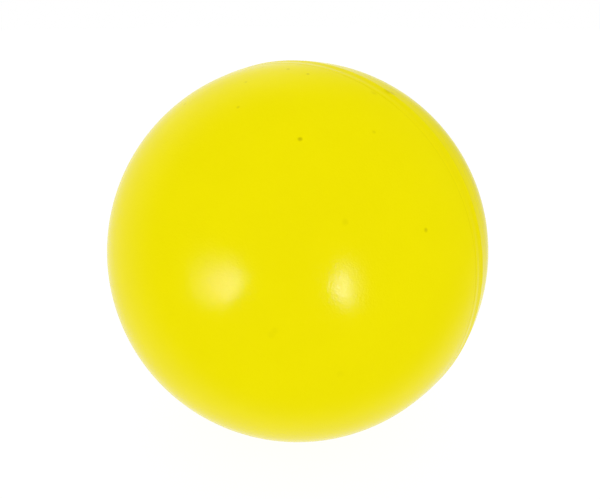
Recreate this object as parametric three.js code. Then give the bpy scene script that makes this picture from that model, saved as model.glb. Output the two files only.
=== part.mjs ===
// An 8.5 inch inflatable rubber playground ball, as the layers and valve parts it is made of.
// Millimetres, +Z up, origin at the ball's centre. The mould axis is Y: the two halves of the
// mould met in the XZ plane, and the valve sits at the +Y pole. Every piece is a revolve about Y,
// the axis that LatheGeometry turns about, so no piece is moved or turned.
import * as THREE from "three";

// ---- driving dimensions -------------------------------------------------------------------
const BALL_RADIUS = 108; // 216 mm, the 8.5 inch size
const COVER_WALL = 1.6;
const WINDING_WALL = 0.5;
const BLADDER_WALL = 0.7;
const LAYER_GAP = 0.2; // between neighbouring layers, which are bonded on the real ball

// The band over the cover's joint. Angles are degrees of latitude from the parting plane, and
// heights are from the cover's outside.
const BAND_EDGE = 5.3;
const BAND_WALL = 0.55;
const BAND_EDGE_GAP = 0.16; // the fine line along each edge of the band
const BAND_TOP_EDGE = 4.2;
const BAND_HEIGHT = 0.2;
const RIDGE_EDGE = 2.6;
const RIDGE_WAIST_EDGE = 1.2;
const RIDGE_WAIST_HEIGHT = 0.32;
const CREST_EDGE = 0.3;
const CREST_HEIGHT = 0.5;
const BUTT_GAP = 0.15; // from the parting plane to each cover half

// The bladder halves' bevelled splice.
const SCARF_EDGE = 1.8;
const SCARF_GAP = 0.6; // each bevel stands this far off the middle of the splice

// The valve, at the +Y pole. All radii are from the Y axis.
const EYE_RADIUS = 22; // the opening that the winding leaves round the valve
const FLANGE_RADIUS = 17;
const FLANGE_EDGE = 0.5;
const FLANGE_ROOT = 1.9;
const FLANGE_ROOT_RADIUS = 8.5;
const NECK_RADIUS = 5.5;
const NECK_BEVEL = 0.4;
const NECK_CLEARANCE = 0.3;
const NECK_RECESS = 0.6; // from the ball's outside down to the top of the neck
const BARREL_LENGTH = 13; // inwards from the flange
const BARREL_RADIUS = 5.2;
const BARREL_BEVEL = 0.8;
const MOUTH_RADIUS = 3.2;
const POCKET_RADIUS = 4.1; // the undercut that keeps the plug in
const POCKET_FLOOR_RADIUS = 3;
const THROAT_RADIUS = 1.5;
const PLUG_CLEARANCE = 0.2;
const PLUG_LIP = 0.3;
const FUNNEL_RADIUS = 1.6;
const FUNNEL_DEPTH = 2;
const NEEDLE_RADIUS = 0.7;
const SLIT_LENGTH = 3; // solid rubber past the needle channel, closed by its own squeeze
const WITNESS_RADIUS = 14; // the circle left by the mould's valve insert
const WITNESS_WIDTH = 0.9;
const WITNESS_DEPTH = 0.25;

// ---- facets -------------------------------------------------------------------------------
const AROUND = 44;
const VALVE_AROUND = 24;
const OUTER_STEP = 5; // degrees of latitude for each facet of the outside
const INNER_STEP = 10; // and of every surface within it

// ---- radii and heights worked out from them -------------------------------------------------
const COVER_INSIDE = BALL_RADIUS - COVER_WALL;
const REBATE_FLOOR = BALL_RADIUS - BAND_WALL - LAYER_GAP;
const WINDING_OUTSIDE = COVER_INSIDE - LAYER_GAP;
const WINDING_INSIDE = WINDING_OUTSIDE - WINDING_WALL;
const BLADDER_OUTSIDE = WINDING_INSIDE - LAYER_GAP;
const BLADDER_INSIDE = BLADDER_OUTSIDE - BLADDER_WALL;
const FLANGE_FACE = BLADDER_INSIDE - LAYER_GAP;
const HOLE_RADIUS = NECK_RADIUS + NECK_CLEARANCE;
const NECK_TOP = BALL_RADIUS - NECK_RECESS;
const FLANGE_TOP = FLANGE_FACE - 0.6;
const BARREL_END = FLANGE_TOP - BARREL_LENGTH;
const POCKET_TOP = FLANGE_TOP + 0.5;
const POCKET_WIDEST = POCKET_TOP - 2.6;
const POCKET_FLOOR = BARREL_END + 3;
const PLUG_TAIL = POCKET_FLOOR + 0.4;

// ---- materials ----------------------------------------------------------------------------
const rubber = (color, roughness) => new THREE.MeshStandardMaterial({ color, roughness, metalness: 0 });
const yellowRubber = rubber(0xf0e300, 0.45);
const butylRubber = rubber(0x1c1c1e, 0.6);
const valveRubber = rubber(0x26262a, 0.55);
const plugRubber = rubber(0x6b5a3a, 0.6);
const nylonThread = new THREE.MeshStandardMaterial({ color: 0xe9e4d4, roughness: 0.7, metalness: 0 });
const patchFabric = new THREE.MeshStandardMaterial({ color: 0xb9a98a, roughness: 0.85, metalness: 0 });

// ---- profiles -----------------------------------------------------------------------------
// A profile is a list of points (distance from the Y axis, height along it). It runs up the
// outside of a piece and back down its inside, so that the faces of the revolve point outwards.
// Angles are degrees from the +Y pole: 90 is the parting plane, 180 the -Y pole.
const { degToRad, radToDeg } = THREE.MathUtils;
const at = (distance, height) => new THREE.Vector2(distance, height);
const angleAt = (distance, radius) => radToDeg(Math.asin(distance / radius));

const onSphere = (radius, angle) =>
  at(radius * Math.sin(degToRad(angle)), radius * Math.cos(degToRad(angle)));

// The point at an angle on the polygon that stands for a circle. All circles of one step are the
// same polygon at different sizes, so that layers drawn with it nest and never cross.
function onCircle(radius, angle, step) {
  const half = degToRad(step / 2);
  const fromMiddle = degToRad(angle % step) - half;
  const reach = (radius * Math.cos(half)) / Math.cos(fromMiddle);
  return at(Math.max(0, reach * Math.sin(degToRad(angle))), reach * Math.cos(degToRad(angle)));
}

// That polygon's points from one angle to another, in either direction.
function arc(radius, from, to, step) {
  const low = Math.min(from, to);
  const high = Math.max(from, to);
  const angles = [low];
  for (let a = (Math.floor(low / step) + 1) * step; a < high; a += step) angles.push(a);
  angles.push(high);
  if (from > to) angles.reverse();
  return angles.map((angle) => onCircle(radius, angle, step));
}

// Revolves a profile that ends on the axis, or else closes it on itself.
function revolve(name, profile, material, around = AROUND) {
  const onAxis = profile[0].x < 1e-9;
  const points = onAxis ? profile : [...profile, profile[0].clone()];
  const mesh = new THREE.Mesh(new THREE.LatheGeometry(points, around), material);
  mesh.name = name;
  return mesh;
}

// ---- cover --------------------------------------------------------------------------------
// Each half ends in a shoulder, a rebate that the band lies in, and a butt face.
function coverPlainHalf() {
  const shoulder = 90 + BAND_EDGE + BAND_EDGE_GAP;
  const profile = [
    ...arc(BALL_RADIUS, 180, shoulder, OUTER_STEP),
    ...arc(REBATE_FLOOR, shoulder, 90 + BUTT_GAP, OUTER_STEP),
    ...arc(COVER_INSIDE, 90 + BUTT_GAP, 180, INNER_STEP),
  ];
  return revolve("cover_plain_half", profile, yellowRubber);
}

// The valve half has the neck's hole at its pole, inside the fine groove that the mould's insert
// leaves.
function coverValveHalf() {
  const shoulder = 90 - BAND_EDGE - BAND_EDGE_GAP;
  const grooveOutside = angleAt(WITNESS_RADIUS + WITNESS_WIDTH / 2, BALL_RADIUS);
  const grooveInside = angleAt(WITNESS_RADIUS - WITNESS_WIDTH / 2, BALL_RADIUS);
  const profile = [
    ...arc(REBATE_FLOOR, 90 - BUTT_GAP, shoulder, OUTER_STEP),
    ...arc(BALL_RADIUS, shoulder, grooveOutside, OUTER_STEP),
    onCircle(BALL_RADIUS - WITNESS_DEPTH, angleAt(WITNESS_RADIUS, BALL_RADIUS), OUTER_STEP),
    ...arc(BALL_RADIUS, grooveInside, OUTER_STEP, OUTER_STEP),
    onSphere(BALL_RADIUS, angleAt(HOLE_RADIUS, BALL_RADIUS)),
    ...arc(COVER_INSIDE, angleAt(HOLE_RADIUS, COVER_INSIDE), 90 - BUTT_GAP, INNER_STEP),
  ];
  return revolve("cover_valve_half", profile, yellowRubber);
}

// A strip laid over the butt joint before moulding. It stands a little proud on soft shoulders, and
// its sides sweep up to the ridge that the mould's parting left.
function seamBand() {
  const half = [
    [BAND_EDGE, 0],
    [BAND_TOP_EDGE, BAND_HEIGHT],
    [RIDGE_EDGE, BAND_HEIGHT],
    [RIDGE_WAIST_EDGE, RIDGE_WAIST_HEIGHT],
    [CREST_EDGE, CREST_HEIGHT],
  ];
  const profile = [
    ...half.map(([edge, height]) => onSphere(BALL_RADIUS + height, 90 + edge)),
    ...half.toReversed().map(([edge, height]) => onSphere(BALL_RADIUS + height, 90 - edge)),
    ...arc(BALL_RADIUS - BAND_WALL, 90 - BAND_EDGE, 90 + BAND_EDGE, OUTER_STEP),
  ];
  return revolve("seam_band", profile, yellowRubber);
}

// ---- carcass ------------------------------------------------------------------------------
// Rubber-dipped nylon thread, wound over the bladder on great circles, with an eye at the valve.
function windingLayer() {
  const profile = [
    ...arc(WINDING_OUTSIDE, 180, angleAt(EYE_RADIUS, WINDING_OUTSIDE), INNER_STEP),
    ...arc(WINDING_INSIDE, angleAt(EYE_RADIUS, WINDING_INSIDE), 180, INNER_STEP),
  ];
  return revolve("winding_layer", profile, nylonThread);
}

// ---- bladder ------------------------------------------------------------------------------
// Two butyl cups joined by a scarf: the plain half's bevel runs inside the valve half's.
function bladderPlainHalf() {
  const profile = [
    ...arc(BLADDER_OUTSIDE, 180, 90 + SCARF_EDGE + SCARF_GAP, INNER_STEP),
    ...arc(BLADDER_INSIDE, 90 - SCARF_EDGE + SCARF_GAP, 180, INNER_STEP),
  ];
  return revolve("bladder_plain_half", profile, butylRubber);
}

function bladderValveHalf() {
  const profile = [
    ...arc(BLADDER_OUTSIDE, 90 + SCARF_EDGE - SCARF_GAP, angleAt(HOLE_RADIUS, BLADDER_OUTSIDE), INNER_STEP),
    ...arc(BLADDER_INSIDE, angleAt(HOLE_RADIUS, BLADDER_INSIDE), 90 - SCARF_EDGE - SCARF_GAP, INNER_STEP),
  ];
  return revolve("bladder_valve_half", profile, butylRubber);
}

// ---- valve --------------------------------------------------------------------------------
// A washer of rubbered fabric that fills the winding's eye and backs the edge of the cover's hole.
function valvePatch() {
  const rim = EYE_RADIUS - NECK_CLEARANCE;
  const profile = [
    ...arc(WINDING_OUTSIDE, angleAt(rim, WINDING_OUTSIDE), angleAt(HOLE_RADIUS, WINDING_OUTSIDE), INNER_STEP),
    ...arc(WINDING_INSIDE, angleAt(HOLE_RADIUS, WINDING_INSIDE), angleAt(rim, WINDING_INSIDE), INNER_STEP),
  ];
  return revolve("valve_patch", profile, patchFabric, VALVE_AROUND);
}

// The housing: a barrel inwards with the pocket that holds the plug, a flange bonded to the
// bladder's inside, and a neck out through every layer.
function valveHousing() {
  const rim = angleAt(FLANGE_RADIUS, FLANGE_FACE);
  const flange = arc(FLANGE_FACE, rim, angleAt(NECK_RADIUS + NECK_BEVEL, FLANGE_FACE), INNER_STEP);
  const root = flange[flange.length - 1];
  const profile = [
    at(THROAT_RADIUS, BARREL_END),
    at(BARREL_RADIUS - BARREL_BEVEL, BARREL_END),
    at(BARREL_RADIUS, BARREL_END + BARREL_BEVEL),
    at(NECK_RADIUS, FLANGE_TOP - FLANGE_ROOT - 1.3),
    at(FLANGE_ROOT_RADIUS, FLANGE_TOP - FLANGE_ROOT),
    at(flange[0].x, flange[0].y - FLANGE_EDGE),
    ...flange,
    at(NECK_RADIUS, root.y + NECK_BEVEL),
    at(NECK_RADIUS, NECK_TOP - NECK_BEVEL),
    at(NECK_RADIUS - NECK_BEVEL, NECK_TOP),
    at(MOUTH_RADIUS, NECK_TOP),
    at(MOUTH_RADIUS, POCKET_TOP),
    at(POCKET_RADIUS, POCKET_WIDEST),
    at(POCKET_FLOOR_RADIUS, POCKET_FLOOR),
    at(THROAT_RADIUS, POCKET_FLOOR - 0.6),
  ];
  return revolve("valve_housing", profile, valveRubber, VALVE_AROUND);
}

// The plug: a soft insert held by its bulb. The needle goes in by the funnel and the channel,
// then through the tail, whose slit closes by itself.
function valvePlug() {
  const mouth = MOUTH_RADIUS - PLUG_CLEARANCE;
  const bulb = POCKET_RADIUS - PLUG_CLEARANCE;
  const tail = POCKET_FLOOR_RADIUS - PLUG_CLEARANCE;
  const top = NECK_TOP - PLUG_LIP;
  const profile = [
    at(0, PLUG_TAIL),
    at(tail - 0.8, PLUG_TAIL),
    at(tail, PLUG_TAIL + 0.8),
    at(bulb, POCKET_WIDEST),
    at(mouth, POCKET_TOP),
    at(mouth, top - PLUG_LIP),
    at(mouth - PLUG_LIP, top),
    at(FUNNEL_RADIUS, top),
    at(NEEDLE_RADIUS, top - FUNNEL_DEPTH),
    at(NEEDLE_RADIUS, PLUG_TAIL + SLIT_LENGTH + NEEDLE_RADIUS),
    at(0, PLUG_TAIL + SLIT_LENGTH),
  ];
  return revolve("valve_plug", profile, plugRubber, VALVE_AROUND);
}

const ball = new THREE.Group();
ball.name = "playground_ball";
ball.add(coverPlainHalf(), coverValveHalf(), seamBand());
ball.add(windingLayer());
ball.add(bladderPlainHalf(), bladderValveHalf());
ball.add(valvePatch(), valveHousing(), valvePlug());

export default ball;
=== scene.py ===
import math

import bmesh
import bpy
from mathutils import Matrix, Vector


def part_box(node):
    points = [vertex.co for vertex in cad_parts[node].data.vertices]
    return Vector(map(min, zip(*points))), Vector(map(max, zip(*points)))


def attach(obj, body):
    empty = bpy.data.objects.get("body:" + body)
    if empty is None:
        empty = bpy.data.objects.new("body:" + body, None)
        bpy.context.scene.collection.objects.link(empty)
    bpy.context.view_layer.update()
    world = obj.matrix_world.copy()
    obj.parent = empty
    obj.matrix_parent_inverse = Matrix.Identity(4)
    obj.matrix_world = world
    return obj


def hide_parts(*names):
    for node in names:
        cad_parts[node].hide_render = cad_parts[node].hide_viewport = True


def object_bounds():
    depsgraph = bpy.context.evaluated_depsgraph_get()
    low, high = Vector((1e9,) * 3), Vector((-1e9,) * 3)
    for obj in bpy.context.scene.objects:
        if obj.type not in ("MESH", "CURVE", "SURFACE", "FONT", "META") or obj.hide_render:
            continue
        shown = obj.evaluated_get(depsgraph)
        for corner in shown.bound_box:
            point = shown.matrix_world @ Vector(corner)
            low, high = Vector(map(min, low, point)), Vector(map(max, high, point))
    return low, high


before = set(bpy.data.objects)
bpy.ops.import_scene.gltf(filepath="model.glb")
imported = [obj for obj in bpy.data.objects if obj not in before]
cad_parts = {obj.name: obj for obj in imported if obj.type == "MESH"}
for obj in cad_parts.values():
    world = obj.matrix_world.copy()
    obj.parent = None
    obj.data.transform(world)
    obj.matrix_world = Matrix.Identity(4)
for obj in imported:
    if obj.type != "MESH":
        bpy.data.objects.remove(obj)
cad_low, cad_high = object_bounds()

# An inflatable rubber playground ball, from its moulded yellow cover in to its bladder and valve.
# Metres, +Z up. The mould axis is Y: the cover's halves meet in the XZ plane under a band, and the
# needle valve is at the +Y pole.
MM = 0.001
BALL_RADIUS = -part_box("cover_plain_half")[0].y

# ---- Camera -------------------------------------------------------------------------------------
# A lens held level, low and close, a little over four ball radii from the ball's centre, so that it
# sees rather less than half of the ball and the plain half fills most of that.
CAMERA_TURN = math.radians(27.4)
CAMERA_RISE = math.radians(18.2)
CAMERA_REACH = 4.2 * BALL_RADIUS
FOCAL_LENGTH = 46.7
LENS_SHIFT = (0.0039, 0.0034)


def direction(turn, rise):
    """A unit vector: turn goes round from -Y towards +X, rise goes up from the horizon."""
    flat = math.cos(rise)
    return Vector((math.sin(turn) * flat, -math.cos(turn) * flat, math.sin(rise)))


to_camera = direction(CAMERA_TURN, CAMERA_RISE)
camera = bpy.data.objects.new("camera", bpy.data.cameras.new("camera"))
camera.data.lens = FOCAL_LENGTH
camera.data.shift_x, camera.data.shift_y = LENS_SHIFT
camera.location = to_camera * CAMERA_REACH
camera.rotation_euler = to_camera.to_track_quat("Z", "Y").to_euler()
bpy.context.scene.collection.objects.link(camera)
bpy.context.scene.camera = camera
bpy.context.scene.view_settings.view_transform = "Standard"

# ---- Floor and light ----------------------------------------------------------------------------
# A white sheet under the ball, in a studio that is evenly white for matt surfaces. What gloss can
# mirror is less even: dark on the lens's side, white behind the ball but for a dark patch to the
# right, and a soft box on either side of the lens.
WHITE = (1, 1, 1, 1)
BLACK = (0, 0, 0, 1)
SHEET_RADIUS = 6
SHEET_GREY = (0.1, 0.1, 0.1, 1)
SHEET_GLOW = 0.94
PATCH_SHEEN = 0.02
BOX_REACH = 4.5 * BALL_RADIUS
BOX_TINT = (0.7, 0.72, 1, 1)
# Sines of the rises between which a soft box's light comes in, from its top and from its foot.
BOX_TOP_FADE = (0.28, -0.06)
BOX_FOOT_FADE = (-0.26, -0.04)


class Value:
    """A socket of a node tree. The operators add Math nodes to the tree."""

    def __init__(self, nodes, socket):
        self.nodes, self.socket = nodes, socket

    def _math(self, operation, a, b=0.0):
        return self.nodes.add("ShaderNodeMath", {"operation": operation}, {0: a, 1: b})

    def __add__(self, other):
        return self._math("ADD", self, other)

    def __sub__(self, other):
        return self._math("SUBTRACT", self, other)

    def __rsub__(self, other):
        return self._math("SUBTRACT", other, self)

    def __mul__(self, other):
        return self._math("MULTIPLY", self, other)

    def __truediv__(self, other):
        return self._math("DIVIDE", self, other)

    def __pow__(self, other):
        return self._math("POWER", self, other)

    def more_of(self, other):
        """Whichever of the two is greater."""
        return self._math("MAXIMUM", self, other)

    __radd__, __rmul__ = __add__, __mul__


class Nodes:
    """The node tree of a material or a world, written as expressions of Values."""

    def __init__(self, block, shader="Principled BSDF", place="Object"):
        block.use_nodes = True
        self.block = block
        self.tree = block.node_tree
        self.shader = self.tree.nodes[shader]
        self.place = self.add("ShaderNodeTexCoord", output=place)

    def add(self, kind, settings=None, values=None, output=0):
        """A node: its settings, then its sockets' values or links, by name or number."""
        node = self.tree.nodes.new(kind)
        for key, setting in (settings or {}).items():
            setattr(node, key, setting)
        for key, value in (values or {}).items():
            self.link(node.inputs[key], value)
        return Value(self, node.outputs[output])

    def link(self, socket, value):
        if isinstance(value, Value):
            self.tree.links.new(value.socket, socket)
        else:
            socket.default_value = value

    def set(self, **values):
        """The shader's sockets, by name with _ for a space."""
        for key, value in values.items():
            self.link(self.shader.inputs[key.replace("_", " ")], value)

    def noise(self, size, detail=2.0, roughness=0.5, place=None):
        """Noise from 0 to 1, whose lumps are about size across."""
        return self.add("ShaderNodeTexNoise", values={
            "Vector": place or self.place, "Scale": 1 / size,
            "Detail": detail, "Roughness": roughness,
        })

    def between(self, value, low, high, shape="SMOOTHSTEP"):
        """0 where the value is at low, 1 where it is at high."""
        settings = {"interpolation_type": shape}
        values = {"Value": value, "From Min": low, "From Max": high}
        return self.add("ShaderNodeMapRange", settings, values)

    def blend(self, factor, a, b):
        """A colour that goes from a to b."""
        settings = {"data_type": "RGBA"}
        return self.add("ShaderNodeMix", settings, {"Factor": factor, 6: a, 7: b}, output=2)

    def vector(self, operation, other, output=0):
        """Vector Math on the place and another vector."""
        settings = {"operation": operation}
        return self.add("ShaderNodeVectorMath", settings, {0: self.place, 1: other}, output)

    def distance(self, point):
        """How far the place lies from a point."""
        return self.vector("DISTANCE", point, "Value")

    def along(self, line):
        """How far the place lies along a direction."""
        return self.vector("DOT_PRODUCT", line, "Value")

    def sine(self, angle):
        return self.add("ShaderNodeMath", {"operation": "SINE"}, {0: angle})

    def bump(self, height, distance):
        return self.add("ShaderNodeBump", values={"Height": height, "Distance": distance})


floor_mesh = bmesh.new()
bmesh.ops.create_circle(floor_mesh, cap_ends=True, segments=96, radius=SHEET_RADIUS)
bmesh.ops.translate(floor_mesh, verts=floor_mesh.verts, vec=(0, 0, cad_low.z))
floor = bpy.data.objects.new("floor", bpy.data.meshes.new("floor"))
floor_mesh.to_mesh(floor.data)
floor_mesh.free()
floor.visible_diffuse = False
floor.visible_glossy = False
floor.visible_shadow = False
bpy.context.scene.collection.objects.link(floor)
sheet = Nodes(bpy.data.materials.new("white_sheet"))
sheet.set(
    Base_Color=SHEET_GREY, Roughness=0.9, Specular_IOR_Level=0.0,
    Emission_Color=WHITE, Emission_Strength=SHEET_GLOW,
)
floor.data.materials.append(sheet.block)

studio = bpy.data.worlds.new("studio")
bpy.context.scene.world = studio
studio.cycles.sampling_method = "NONE"
sky = Nodes(studio, "Background", "Generated")


def away_from(turn, rise, inside, outside):
    """0 within an angle of a direction in the studio and 1 beyond another, both in degrees."""
    centre = sky.along(direction(math.radians(turn), math.radians(rise)))
    return sky.between(centre, math.cos(math.radians(inside)), math.cos(math.radians(outside)))


mirrored = sky.add("ShaderNodeLightPath", output="Is Glossy Ray")
white_behind = away_from(turn=36.3, rise=18.1, inside=91.7, outside=122.3)
off_patch = away_from(turn=145, rise=26, inside=20, outside=64)
sheen = white_behind * (PATCH_SHEEN + (1 - PATCH_SHEEN) * off_patch)
sky.set(Color=WHITE, Strength=mirrored * sheen + (1 - mirrored))


def soft_box(name, corners, edge, fade, falloff, brightness):
    """A panel that only gloss can mirror, brightest by its edge and fading across, up and down.

    Corners are (turn, rise) in degrees. Edge and fade are turns, of the brightest line and of the
    end of the light.
    """
    shape = bmesh.new()
    rays = [direction(math.radians(turn), math.radians(rise)) for turn, rise in corners]
    face = shape.faces.new([shape.verts.new(ray * BOX_REACH) for ray in rays])
    bmesh.ops.triangulate(shape, faces=[face])
    panel = bpy.data.objects.new(name, bpy.data.meshes.new(name))
    shape.to_mesh(panel.data)
    shape.free()
    panel.visible_camera = False
    panel.visible_diffuse = False
    panel.visible_shadow = False
    glow = Nodes(bpy.data.materials.new(name))
    middle = (edge + fade) / 2
    across = glow.along(direction(math.radians(middle + 90), 0)) / BOX_REACH
    ends = [math.sin(math.radians(turn - middle)) for turn in (fade, edge)]
    height = glow.along((0, 0, 1)) / BOX_REACH
    level = glow.between(across, *ends, "LINEAR") ** falloff
    level = level * glow.between(height, *BOX_TOP_FADE) * glow.between(height, *BOX_FOOT_FADE)
    glow.set(
        Base_Color=BLACK, Specular_IOR_Level=0.0,
        Emission_Color=glow.blend(level, BLACK, BOX_TINT), Emission_Strength=brightness,
    )
    panel.data.materials.append(glow.block)
    bpy.context.scene.collection.objects.link(panel)


left_corners = [(-30, 17), (-3, 17), (-1.5, 10), (1.5, 4), (0.7, 0), (-12.5, -15.5), (-30, -16)]
right_corners = [(49, 15), (62, 15), (62, -16), (54, -14), (49.5, -9), (47, -5), (45, 0), (46, 5)]
soft_box("soft_box_left", left_corners, edge=-5, fade=-30, falloff=1.5, brightness=75)
soft_box("soft_box_right", right_corners, edge=47, fade=61, falloff=2.6, brightness=195)

# ---- Cover --------------------------------------------------------------------------------------
# Two cups of calendered yellow rubber, laid on the carcass and vulcanised to it in a mould whose
# inside is finely blasted, which gives the grip grain. They butt under the band.
COVER_WALL = 1.6 * MM
BAND_WALL = 0.55 * MM
BAND_BED_GAP = 0.2 * MM
SHOULDER_ROUND = 0.07 * MM
PEBBLE = 1.0 * MM
MATT_PATCH = 1.1 * MM
CUP_GRAIN = 0.07 * MM
BAND_GRAIN = 0.05 * MM
YELLOWS = (0.875, 0.77, 0.0, 1), (0.885, 0.78, 0.0, 1)
YELLOW_GLOSS = 0.0285
AROUND = 240
ON_AXIS = 1e-9
WELD = 1e-6
# Degrees: the band's edge from its middle, the gap beyond it, how far short of the gap a cup's plain
# arc stops, and half of the gap between the cups.
BAND_EDGE = 5.3
BAND_EDGE_GAP = 0.02
SHOULDER_LEAD = 0.4
BUTT_GAP = 0.15


def on_ball(radius, angle):
    """(distance from the Y axis, height) at an angle in degrees from the +Y pole."""
    turn = math.radians(angle)
    return (radius * math.sin(turn), radius * math.cos(turn))


def arc(radius, start, end, step=1.5):
    """Points on a circle about the ball's centre, from one angle to another."""
    count = max(1, round(abs(end - start) / step))
    return [on_ball(radius, start + (end - start) * i / count) for i in range(count + 1)]


def rounded(corner, before, after, radius, steps=4):
    """A corner of a profile, rounded: a quadratic curve that starts and ends radius away from it."""
    corner, before, after = Vector(corner), Vector(before), Vector(after)
    start = corner + (before - corner).normalized() * radius
    end = corner + (after - corner).normalized() * radius
    points = []
    for i in range(steps + 1):
        t = i / steps
        points.append(tuple(start * (1 - t) ** 2 + corner * 2 * t * (1 - t) + end * t**2))
    return points


def angle_at(distance, radius):
    """The angle from the +Y pole at which a circle is that far from the Y axis."""
    return math.degrees(math.asin(distance / radius))


def revolve(name, profile, material, node, around=AROUND, sharp=35):
    """Spins a profile about Y into a piece, smooth but for its sharp edges."""
    shape = bmesh.new()
    chain = [shape.verts.new((distance, height, 0)) for distance, height in profile]
    edges = [shape.edges.new(pair) for pair in zip(chain, chain[1:])]
    if profile[0][0] > ON_AXIS:
        edges.append(shape.edges.new((chain[-1], chain[0])))
    bmesh.ops.spin(
        shape, geom=chain + edges, cent=(0, 0, 0), axis=(0, 1, 0),
        angle=math.tau, steps=around, use_merge=True, use_duplicate=False,
    )
    bmesh.ops.remove_doubles(shape, verts=shape.verts, dist=WELD)
    bmesh.ops.recalc_face_normals(shape, faces=shape.faces)
    for face in shape.faces:
        face.smooth = True
    for edge in shape.edges:
        edge.smooth = edge.calc_face_angle(0) < math.radians(sharp)
    piece = bpy.data.objects.new(name, bpy.data.meshes.new(name))
    shape.to_mesh(piece.data)
    shape.free()
    piece.data.materials.append(material)
    bpy.context.scene.collection.objects.link(piece)
    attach(piece, "root")
    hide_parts(node)
    return piece


# Specks of undispersed black in the rubber, smudges over the seam and fainter scuffs: angle from the
# plain pole and turn from +Z towards +X in degrees, radius in millimetres, how dark from 0 to 1.
SPECKS = [
    (53.0, 23.9, 1.7, 0.55), (65.5, 67.6, 1.6, 0.4), (68.9, 37.2, 1.5, 0.18), (56.9, -1.2, 1.4, 0.28),
    (78.8, 2.9, 1.3, 0.45), (77.7, 9.7, 1.3, 0.45), (80.5, -6.1, 1.2, 0.4), (64.6, -25.6, 1.3, 0.3),
    (68.7, -5.2, 1.2, 0.3), (45.9, 54.2, 2.2, 0.12), (38, 205, 1.5, 0.4), (71, 162, 1.4, 0.45),
    (83.4, 27.6, 2.6, 0.14), (89.6, 29.0, 3.6, 0.3), (90.8, 30.0, 3.0, 0.35), (121, 60, 1.6, 0.45),
    (133, 251, 1.5, 0.4), (104, 318, 1.4, 0.45), (152, 140, 1.5, 0.35), (21.1, 96.8, 2.6, 0.07),
    (21.9, 93.5, 2.6, 0.07), (40.5, 112.2, 2.8, 0.05),
]
# The colour of the specks, also used for the painted shade along the seam.
SPECK_AND_SHADE = (0.42, 0.33, 0.0, 1)

# Painted shade along the seam: darker lines at the band's edges and at the crest, and a broad faint
# one on the valve's side.
# Angle from its middle towards the valve in degrees, half width in millimetres and how dark.
PAINTED_SEAM_SHADE = [(-BAND_EDGE, 0.5, 0.12), (BAND_EDGE, 0.5, 0.12), (0, 0.35, 0.14), (-1.5, 3.2, 0.05)]


def cover_rubber(name, grain):
    """Yellow rubber. The grain's height is in metres: the band is smoother than the cups."""
    mat = Nodes(bpy.data.materials.new(name))
    cloud = mat.noise(30 * MM, detail=3)
    colour = mat.blend(mat.between(cloud, 0.35, 0.65), *YELLOWS)
    specks_and_painted_shade = None
    for from_pole, turn, size, dark in SPECKS:
        x, y = on_ball(BALL_RADIUS, 180 - from_pole)
        centre = (x * math.sin(math.radians(turn)), y, x * math.cos(math.radians(turn)))
        spot = mat.between(mat.distance(centre), size * MM, 0.2 * size * MM) * dark
        specks_and_painted_shade = spot if specks_and_painted_shade is None else specks_and_painted_shade.more_of(spot)
    from_seam = mat.along((0, 1, 0))
    patchy = 0.4 + 1.2 * cloud
    # Painted shade: the seam's lines are darkened in the colour, in patches that follow the cloud.
    for angle, width, dark in PAINTED_SEAM_SHADE:
        line = BALL_RADIUS * math.sin(math.radians(angle))
        away = (from_seam - line).more_of(line - from_seam)
        painted_shade = mat.between(away, width * MM, 0.3 * width * MM) * patchy * dark
        specks_and_painted_shade = specks_and_painted_shade.more_of(painted_shade)
    matt = mat.between(mat.noise(MATT_PATCH, detail=1), 0.4, 0.65)
    # The specks and the painted seam shade darken the yellow.
    mat.set(
        Base_Color=mat.blend(specks_and_painted_shade, colour, SPECK_AND_SHADE), Roughness=0.105 + 0.08 * matt + 0.03 * cloud,
        Specular_IOR_Level=YELLOW_GLOSS, Normal=mat.bump(mat.noise(PEBBLE, detail=1.5), grain),
    )
    return mat.block


cup_rubber = cover_rubber("yellow_rubber_grained", CUP_GRAIN)
cover_inside = BALL_RADIUS - COVER_WALL
band_bed = BALL_RADIUS - BAND_WALL - BAND_BED_GAP


def shoulder(side):
    """The cup's edge by the band: rounded over, down into the rebate, and in at the butt face."""
    edge = 90 + side * (BAND_EDGE + BAND_EDGE_GAP)
    top, foot = on_ball(BALL_RADIUS, edge), on_ball(band_bed, edge)
    over = rounded(top, on_ball(BALL_RADIUS, edge + side), foot, SHOULDER_ROUND)
    return [*over, *arc(band_bed, edge, 90 + side * BUTT_GAP)]


profile = [
    *arc(BALL_RADIUS, 180, 90 + BAND_EDGE + BAND_EDGE_GAP + SHOULDER_LEAD),
    *shoulder(1),
    *arc(cover_inside, 90 + BUTT_GAP, 180, 3),
]
revolve("plain_cup", profile, cup_rubber, "cover_plain_half")

# The valve cup has the neck's hole at its pole, inside the fine circle left by the mould's insert.
HOLE_RADIUS = 5.8 * MM
HOLE_ROUND = 0.4 * MM
HOLE_LEAD = 0.6 * MM
WITNESS_RADIUS = 14 * MM
WITNESS_WIDTH = 0.9 * MM
WITNESS_DEPTH = 0.25 * MM
WITNESS_STEPS = 8
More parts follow.
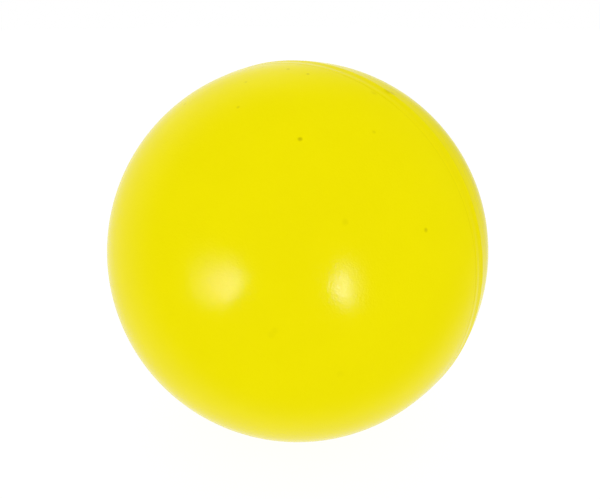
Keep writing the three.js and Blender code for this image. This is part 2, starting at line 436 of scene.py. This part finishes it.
# Degrees from the pole of a point on the outside, from which the hole's rim is rounded.
HOLE_APPROACH = 4
groove = []
for i in range(WITNESS_STEPS + 1):
    across = i / WITNESS_STEPS
    depth = WITNESS_DEPTH * math.sin(math.pi * across)
    distance = WITNESS_RADIUS + WITNESS_WIDTH * (0.5 - across)
    groove.append(on_ball(BALL_RADIUS - depth, angle_at(distance, BALL_RADIUS)))
shoulder_angle = 90 - BAND_EDGE - BAND_EDGE_GAP - SHOULDER_LEAD
beyond_groove = angle_at(WITNESS_RADIUS + WITNESS_WIDTH, BALL_RADIUS)
within_groove = angle_at(WITNESS_RADIUS - WITNESS_WIDTH, BALL_RADIUS)
hole_top = on_ball(BALL_RADIUS, angle_at(HOLE_RADIUS, BALL_RADIUS))
hole_foot_angle = angle_at(HOLE_RADIUS, cover_inside)
hole_foot = on_ball(cover_inside, hole_foot_angle)
profile = [
    *reversed(shoulder(-1)),
    *arc(BALL_RADIUS, shoulder_angle, beyond_groove),
    *groove,
    *arc(BALL_RADIUS, within_groove, angle_at(HOLE_RADIUS + HOLE_LEAD, BALL_RADIUS)),
    *rounded(hole_top, on_ball(BALL_RADIUS, HOLE_APPROACH), hole_foot, HOLE_ROUND),
    *arc(cover_inside, hole_foot_angle, 90 - BUTT_GAP, 3),
]
revolve("valve_cup", profile, cup_rubber, "cover_valve_half")

# ---- Seam band ----------------------------------------------------------------------------------
# A strip of the same rubber laid over the butt joint before moulding. The mould's two halves close
# along its middle, where a little rubber is squeezed into a low ridge and then trimmed.
BAND_HEIGHT = 0.13 * MM
RIDGE_FOOT = -0.03 * MM
CREST_HEIGHT = 0.495 * MM
PLAIN_SIDE_FALL = 1.5
VALVE_SIDE_FALL = 2.2
# Degrees from the band's middle.
BAND_TOP_EDGE = 4.6
RIDGE_EDGE = 2.4
CREST_ROUND = 0.07
BAND_STEP = 0.1
band_under = BALL_RADIUS - BAND_WALL


def eased_step(value):
    """0 to 1 with a level start and end."""
    return value * value * (3 - 2 * value)


def band_height(angle):
    """How far the band stands above the cups' outside, at an angle in degrees from its middle.

    The valve's side of the mould sits a little proud, so the ridge falls away slowly there.
    """
    across = abs(angle)
    blunt = math.sqrt(across**2 + CREST_ROUND**2) - CREST_ROUND
    if across > BAND_TOP_EDGE:
        return BAND_HEIGHT * eased_step((BAND_EDGE - across) / (BAND_EDGE - BAND_TOP_EDGE))
    if angle < 0:
        rise = (1 - blunt / BAND_TOP_EDGE) ** VALVE_SIDE_FALL
        return BAND_HEIGHT + (CREST_HEIGHT - BAND_HEIGHT) * rise
    if across > RIDGE_EDGE:
        fall = eased_step((BAND_TOP_EDGE - across) / (BAND_TOP_EDGE - RIDGE_EDGE))
        return BAND_HEIGHT + (RIDGE_FOOT - BAND_HEIGHT) * fall
    rise = (1 - blunt / RIDGE_EDGE) ** PLAIN_SIDE_FALL
    return RIDGE_FOOT + (CREST_HEIGHT - RIDGE_FOOT) * rise


count = round(2 * BAND_EDGE / BAND_STEP)
top = [BAND_EDGE - BAND_STEP * i for i in range(count + 1)]
profile = [
    *[on_ball(BALL_RADIUS + band_height(angle), 90 + angle) for angle in top],
    *arc(band_under, 90 - BAND_EDGE, 90 + BAND_EDGE),
]
band_rubber = cover_rubber("yellow_rubber_smooth", BAND_GRAIN)
revolve("parting_band", profile, band_rubber, "seam_band", sharp=50)

# ---- Winding ------------------------------------------------------------------------------------
# Rubber-dipped nylon thread, wound over the bladder in tapes of a few strands. Each tape follows a
# great circle, over and under the rest, and all of them miss an eye round the valve.
WINDING_OUTSIDE = 106.2 * MM
WINDING_WALL = 0.5 * MM
EYE_RADIUS = 22 * MM
TAPES = 40
TAPE_WIDTH = 8 * MM
TAPE_LEAN = 75
TAPE_TURN = 137.5
TAPE_LIFT = 0.19 * MM
LOWEST_TAPE = 0.35
TAPE_EDGE_RISE = 3.5
THREAD_PITCH = 0.8 * MM
THREAD_LINES = [(0.2, 0.9, 0.4), (0.8, 0.5, -0.3), (-0.4, 0.3, 0.85)]
EYE_ROUND = 0.12 * MM
winding_inside = WINDING_OUTSIDE - WINDING_WALL
winding_ground = WINDING_OUTSIDE - TAPE_LIFT


def nylon_winding():
    """Cream thread in crossing sets, the later ones over the first, and dip between the strands."""
    mat = Nodes(bpy.data.materials.new("dipped_nylon_thread"))
    turns = [mat.along(line) * (math.tau / THREAD_PITCH) for line in THREAD_LINES]
    strands, *later = [mat.sine(turn) * 0.5 + 0.5 for turn in turns]
    for number, ridge in enumerate(later, 1):
        shifted = mat.vector("ADD", (number, 0, 0))
        over = mat.between(mat.noise(22 * MM, detail=0.5, place=shifted), 0.47, 0.53)
        strands = strands * (1 - over) + ridge * over
    stain = mat.between(mat.noise(12 * MM, detail=4), 0.35, 0.75)
    thread = mat.blend(stain, (0.74, 0.71, 0.61, 1), (0.62, 0.56, 0.42, 1))
    colour = mat.blend(mat.between(strands, 0.0, 0.5), (0.40, 0.33, 0.20, 1), thread)
    mat.set(
        Base_Color=colour, Roughness=0.55 + 0.2 * stain, Specular_IOR_Level=0.3,
        Normal=mat.bump(strands, 0.12 * MM),
    )
    return mat.block


eye_outside = angle_at(EYE_RADIUS, winding_ground)
eye_inside = angle_at(EYE_RADIUS, winding_inside)
profile = [
    *arc(winding_ground, 180, eye_outside, 1.2)[:-1],
    *rounded(
        on_ball(winding_ground, eye_outside), on_ball(winding_ground, eye_outside + 1),
        on_ball(winding_inside, eye_inside), EYE_ROUND,
    ),
    *arc(winding_inside, eye_inside, 180, 6),
]
winding = revolve("thread_winding", profile, nylon_winding(), "winding_layer", around=400)
tapes = []
for number in range(TAPES):
    lean = math.acos(1 - (number + 0.5) / TAPES * (1 - math.cos(math.radians(TAPE_LEAN))))
    turn = math.radians(TAPE_TURN * number)
    flat = math.sin(lean)
    axis = Vector((flat * math.cos(turn), math.cos(lean), flat * math.sin(turn)))
    order = (number * 17 % TAPES) / (TAPES - 1)
    tapes.append((axis, TAPE_LIFT * (LOWEST_TAPE + (1 - LOWEST_TAPE) * order)))
# The tapes stand out of the layer's outside. Its inside stays round.
INSIDE_MARGIN = 0.05 * MM
for vertex in winding.data.vertices:
    radius = vertex.co.length
    if radius < winding_ground - INSIDE_MARGIN:
        continue
    out = vertex.co / radius
    lift = 0
    for axis, tape_lift in tapes:
        inside_edge = 1 - abs(out.dot(axis)) * radius * 2 / TAPE_WIDTH
        if inside_edge > 0:
            lift = max(lift, tape_lift * min(1, inside_edge * TAPE_EDGE_RISE))
    vertex.co = out * (radius + lift)

# ---- Bladder ------------------------------------------------------------------------------------
# Two moulded cups of black butyl rubber that hold the air. Their edges are skived to long bevels,
# cemented together, and dusted with talc so that the winding doesn't stick to them.
BLADDER_OUTSIDE = 105.5 * MM
BLADDER_WALL = 0.7 * MM
SKIVE_ROUND = 0.12 * MM
# Degrees: half the splice's width and half of its gap, then the angles from the +Y pole at which the
# plain outside and inside of each cup stop, short of the splice.
SCARF_EDGE = 1.8
SCARF_GAP = 0.6
PLAIN_STOPS = (93, 90)
VALVE_STOPS = (90, 86)
bladder_inside = BLADDER_OUTSIDE - BLADDER_WALL


def butyl():
    """Black butyl, with talc caught in clouds and fine specks."""
    mat = Nodes(bpy.data.materials.new("black_butyl"))
    cloud = mat.between(mat.noise(25 * MM, detail=5, roughness=0.6), 0.45, 0.75)
    speck = mat.between(mat.noise(1.2 * MM, detail=3), 0.55, 0.75)
    talc = cloud * (0.35 + 0.65 * speck)
    colour = mat.blend(talc, (0.012, 0.012, 0.013, 1), (0.12, 0.12, 0.118, 1))
    skin = mat.noise(0.8 * MM, detail=3)
    mat.set(
        Base_Color=colour, Roughness=0.42 + 0.35 * talc, Specular_IOR_Level=0.4,
        Normal=mat.bump(skin + 0.5 * talc, 0.02 * MM),
    )
    return mat.block


def skived(outer_angle, inner_angle, inwards):
    """The two rounded corners of a cup's bevelled edge, from the outside to the inside."""
    outer, inner = on_ball(BLADDER_OUTSIDE, outer_angle), on_ball(bladder_inside, inner_angle)
    before = on_ball(BLADDER_OUTSIDE, outer_angle + inwards)
    after = on_ball(bladder_inside, inner_angle + inwards)
    return [*rounded(outer, before, inner, SKIVE_ROUND), *rounded(inner, outer, after, SKIVE_ROUND)]


black_butyl = butyl()
profile = [
    *arc(BLADDER_OUTSIDE, 180, PLAIN_STOPS[0]),
    *skived(90 + SCARF_EDGE + SCARF_GAP, 90 - SCARF_EDGE + SCARF_GAP, 1),
    *arc(bladder_inside, PLAIN_STOPS[1], 180, 3),
]
revolve("plain_bladder_cup", profile, black_butyl, "bladder_plain_half", around=180, sharp=60)

bladder_hole = angle_at(HOLE_RADIUS, BLADDER_OUTSIDE)
bladder_hole_inside = angle_at(HOLE_RADIUS, bladder_inside)
profile = [
    *arc(BLADDER_OUTSIDE, bladder_hole, VALVE_STOPS[0]),
    *skived(90 + SCARF_EDGE - SCARF_GAP, 90 - SCARF_EDGE - SCARF_GAP, -1),
    *arc(bladder_inside, VALVE_STOPS[1], bladder_hole_inside, 3),
]
revolve("valve_bladder_cup", profile, black_butyl, "bladder_valve_half", around=180, sharp=60)

# ---- Valve patch --------------------------------------------------------------------------------
# A washer of rubbered cotton, die-cut and skived at its rim. It fills the winding's eye and backs
# the edge of the cover's hole.
PATCH_CLEARANCE = 0.3 * MM
PATCH_SKIVE = 2.5 * MM
PATCH_LIP = 0.15 * MM
WEAVE_PITCH = 0.9 * MM


def rubbered_cotton():
    """Tan plain weave, one set of threads over the other by turns, with rubber in the hollows."""
    mat = Nodes(bpy.data.materials.new("rubbered_cotton"))
    warp = mat.sine(mat.along((1, 0, 0)) * (math.tau / WEAVE_PITCH))
    weft = mat.sine(mat.along((0, 0, 1)) * (math.tau / WEAVE_PITCH))
    height = warp * weft * 0.5 + 0.5
    wear = mat.noise(4 * MM, detail=4)
    cotton = mat.blend(wear, (0.50, 0.42, 0.28, 1), (0.36, 0.29, 0.18, 1))
    mat.set(
        Base_Color=mat.blend(mat.between(height, 0.05, 0.5), (0.16, 0.12, 0.07, 1), cotton),
        Roughness=0.65 + 0.25 * wear, Specular_IOR_Level=0.25, Normal=mat.bump(height, 0.1 * MM),
    )
    return mat.block


rim = EYE_RADIUS - PATCH_CLEARANCE
patch_hole = angle_at(HOLE_RADIUS, WINDING_OUTSIDE)
patch_hole_inside = angle_at(HOLE_RADIUS, winding_inside)
rim_inside = on_ball(winding_inside, angle_at(rim, winding_inside))
rim_lip = (rim, rim_inside[1] + PATCH_LIP)
skive_start = angle_at(rim - PATCH_SKIVE, WINDING_OUTSIDE)
profile = [
    rim_inside,
    rim_lip,
    *arc(WINDING_OUTSIDE, skive_start, patch_hole),
    *arc(winding_inside, patch_hole_inside, angle_at(rim, winding_inside), 2)[:-1],
]
revolve("cotton_patch", profile, rubbered_cotton(), "valve_patch", around=96)

# ---- Valve housing ------------------------------------------------------------------------------
# One moulding of black rubber. Its dished flange is cemented to the bladder's inside, its neck
# comes out through every layer, and its barrel has the undercut pocket that the plug sits in.
FLANGE_FACE = 104.6 * MM
FLANGE_RADIUS = 17 * MM
FLANGE_EDGE = 0.5 * MM
FLANGE_TOP = 104.0 * MM
FLANGE_ROOT = 1.9 * MM
FLANGE_ROOT_RADIUS = 8.5 * MM
NECK_RADIUS = 5.5 * MM
NECK_TOP = 107.4 * MM
BARREL_RADIUS = 5.2 * MM
BARREL_END = 91 * MM
MOUTH_RADIUS = 3.2 * MM
POCKET_RADIUS = 4.1 * MM
POCKET_TOP = 104.5 * MM
POCKET_WIDEST = 101.9 * MM
POCKET_FLOOR = 94 * MM
POCKET_FLOOR_RADIUS = 3 * MM
THROAT_RADIUS = 1.5 * MM


def eased(corners):
    """A profile from corners (distance, height) or (distance, height, rounding radius)."""
    points = []
    for number, corner in enumerate(corners):
        if len(corner) == 2:
            points.append(corner)
            continue
        before, after = corners[number - 1], corners[(number + 1) % len(corners)]
        points += rounded(corner[:2], before[:2], after[:2], corner[2])
    return points


def valve_rubber():
    """Black moulded rubber: satin, with flow streaks along the barrel and a fine skin."""
    mat = Nodes(bpy.data.materials.new("black_valve_rubber"))
    squeezed = mat.vector("MULTIPLY", (1, 0.15, 1))
    streak = mat.noise(1.5 * MM, detail=3, place=squeezed)
    bloom = mat.between(mat.noise(5 * MM, detail=4), 0.45, 0.8)
    mat.set(
        Base_Color=mat.blend(bloom, (0.016, 0.016, 0.018, 1), (0.045, 0.045, 0.047, 1)),
        Roughness=0.34 + 0.16 * streak + 0.2 * bloom, Specular_IOR_Level=0.4,
        Normal=mat.bump(mat.noise(0.5 * MM, detail=3) + streak, 0.02 * MM),
    )
    return mat.block


flange_rim = angle_at(FLANGE_RADIUS, FLANGE_FACE)
flange_inner = angle_at(NECK_RADIUS + 0.4 * MM, FLANGE_FACE)
flange = arc(FLANGE_FACE, flange_rim, flange_inner)
profile = eased([
    (THROAT_RADIUS, BARREL_END, 0.3 * MM),
    (BARREL_RADIUS, BARREL_END, 0.9 * MM),
    (NECK_RADIUS, FLANGE_TOP - FLANGE_ROOT - 1.3 * MM, 0.8 * MM),
    (FLANGE_ROOT_RADIUS, FLANGE_TOP - FLANGE_ROOT, 1.6 * MM),
    (flange[0][0], flange[0][1] - FLANGE_EDGE, 0.22 * MM),
    (*flange[0], 0.22 * MM),
    *flange[1:-1],
    (*flange[-1], 0.2 * MM),
    (NECK_RADIUS, flange[-1][1] + 0.4 * MM, 0.2 * MM),
    (NECK_RADIUS, NECK_TOP, 0.45 * MM),
    (MOUTH_RADIUS, NECK_TOP, 0.25 * MM),
    (MOUTH_RADIUS, POCKET_TOP, 0.5 * MM),
    (POCKET_RADIUS, POCKET_WIDEST, 1.2 * MM),
    (POCKET_FLOOR_RADIUS, POCKET_FLOOR, 0.5 * MM),
    (THROAT_RADIUS, POCKET_FLOOR - 0.6 * MM, 0.3 * MM),
])
revolve("needle_valve_housing", profile, valve_rubber(), "valve_housing", around=96)

# ---- Valve plug ---------------------------------------------------------------------------------
# A soft gum-rubber insert, pushed in past the housing's mouth and held by its bulb. The needle goes
# in by the funnel and the channel, and the solid tail closes on its slit behind it.
PLUG_CLEARANCE = 0.2 * MM
PLUG_TOP = 107.1 * MM
PLUG_TAIL = 94.4 * MM
FUNNEL_RADIUS = 1.6 * MM
FUNNEL_DEPTH = 2 * MM
NEEDLE_RADIUS = 0.7 * MM
SLIT_LENGTH = 3 * MM


def gum_rubber():
    """Brown gum rubber with a darker, polished ring where needles rub it."""
    mat = Nodes(bpy.data.materials.new("brown_gum_rubber"))
    mottle = mat.noise(1.6 * MM, detail=4)
    from_axis = mat.distance((0, PLUG_TOP, 0))
    rubbed = 1 - mat.between(from_axis, 1.0 * MM, 2.2 * MM)
    fresh = mat.blend(mottle, (0.20, 0.14, 0.065, 1), (0.14, 0.095, 0.042, 1))
    mat.set(
        Base_Color=mat.blend(rubbed * 0.7, fresh, (0.07, 0.045, 0.02, 1)),
        Roughness=0.6 - 0.22 * rubbed + 0.1 * mottle, Specular_IOR_Level=0.35,
        Normal=mat.bump(mat.noise(0.4 * MM, detail=3), 0.015 * MM),
    )
    return mat.block


plug_mouth = MOUTH_RADIUS - PLUG_CLEARANCE
plug_bulb = POCKET_RADIUS - PLUG_CLEARANCE
plug_end = POCKET_FLOOR_RADIUS - PLUG_CLEARANCE
profile = eased([
    (0, PLUG_TAIL),
    (plug_end, PLUG_TAIL, 0.8 * MM),
    (plug_bulb, POCKET_WIDEST, 1.2 * MM),
    (plug_mouth, POCKET_TOP, 0.5 * MM),
    (plug_mouth, PLUG_TOP, 0.3 * MM),
    (FUNNEL_RADIUS, PLUG_TOP, 0.25 * MM),
    (NEEDLE_RADIUS, PLUG_TOP - FUNNEL_DEPTH, 0.4 * MM),
    (NEEDLE_RADIUS, PLUG_TAIL + SLIT_LENGTH + NEEDLE_RADIUS, 0.3 * MM),
    (0, PLUG_TAIL + SLIT_LENGTH),
])
revolve("self_sealing_plug", profile, gum_rubber(), "valve_plug", around=96)
